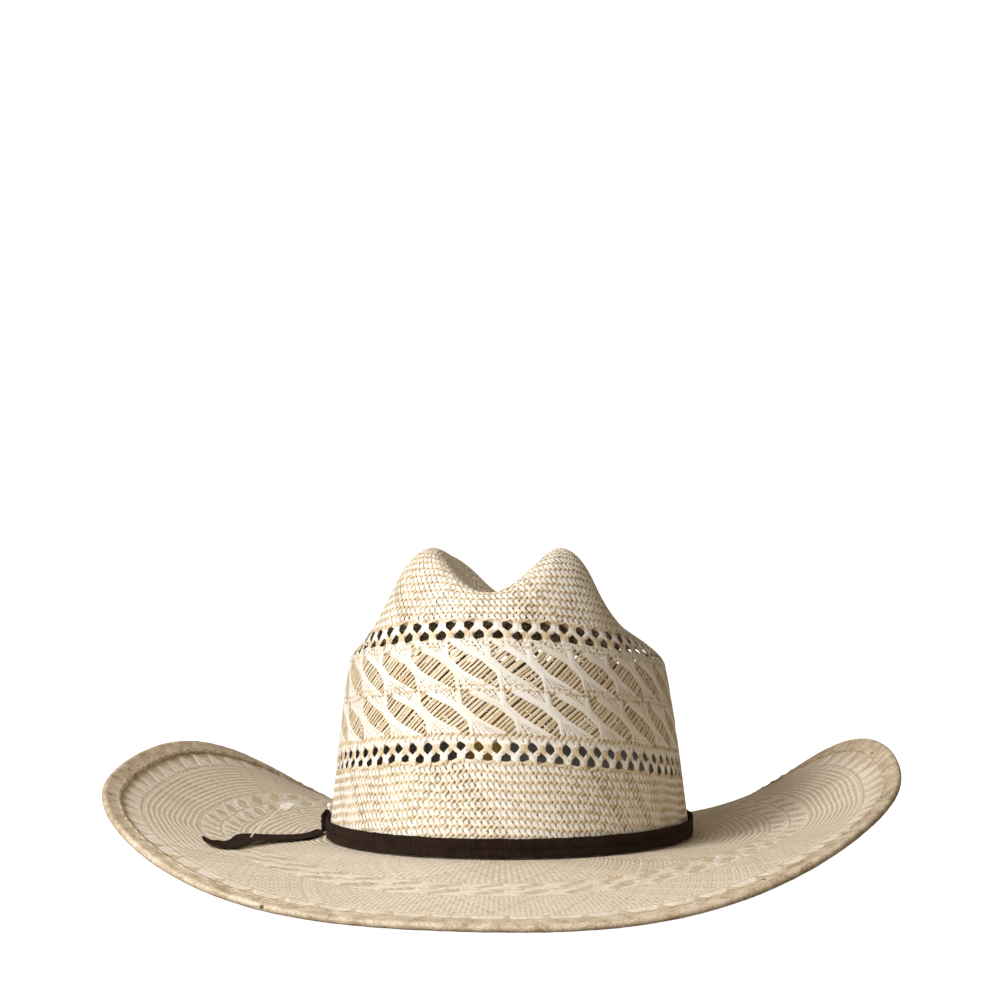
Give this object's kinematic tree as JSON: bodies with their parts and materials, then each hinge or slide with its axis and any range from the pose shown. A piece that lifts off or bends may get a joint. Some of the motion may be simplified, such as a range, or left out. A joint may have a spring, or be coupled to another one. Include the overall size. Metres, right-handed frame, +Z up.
{
  "type": "cowboy hat",
  "caption": "Open-weave straw cowboy hat: creased, side-dented crown, rolled brim with a wired hem, sweatband, and a narrow dark ribbon that lifts off, with a loose tail.",
  "frame": {"origin": "below the middle of the hat, on the level surface it stands on", "axes": "+Z up, +X towards the wearer's left, +Y towards the back of the hat, so the front faces -Y"},
  "size_m": [0.3742, 0.4046, 0.1626],
  "materials": {
    "straw": "satin lacquered straw",
    "straw_hem": "satin lacquered straw",
    "wire": "plain drawn wire",
    "ferrule": "plain",
    "thread": "matte",
    "dark_thread": "matte",
    "sweatband": "satin",
    "tape": "matte",
    "reed": "satin",
    "bow": "satin",
    "label": "satin",
    "ribbon": "ribbed grosgrain, matte",
    "nylon": "translucent white"
  },
  "bodies": {
    "hat": {"straw_crown": "straw", "straw_brim": "straw", "brim_hem": "straw_hem", "brim_edge_wire": "wire", "wire_ferrule": "ferrule", "hem_stitching": "thread", "sweatband": "sweatband", "sweatband_tape": "tape", "sweatband_reed": "reed", "sweatband_stitching": "dark_thread", "sweatband_bow": "bow", "inside_label": "label"},
    "ribbon": {"hat_band": "ribbon", "band_knot": "ribbon", "knot_pin": "nylon"},
    "ribbon_tail": {"band_tail": "ribbon", "tag_pin": "nylon"}
  },
  "joints": [
    {"name": "ribbon_lift", "type": "slide", "parent": "hat", "child": "ribbon", "axis": [0, 0, 1], "range_m": [0, 0.145]},
    {"name": "tail_lift", "type": "hinge", "parent": "ribbon", "child": "ribbon_tail", "pos_m": [0.09426, 0.00672, 0.0251], "axis": [0.9947, -0.1028, 0], "range_deg": [0, 80]}
  ]
}
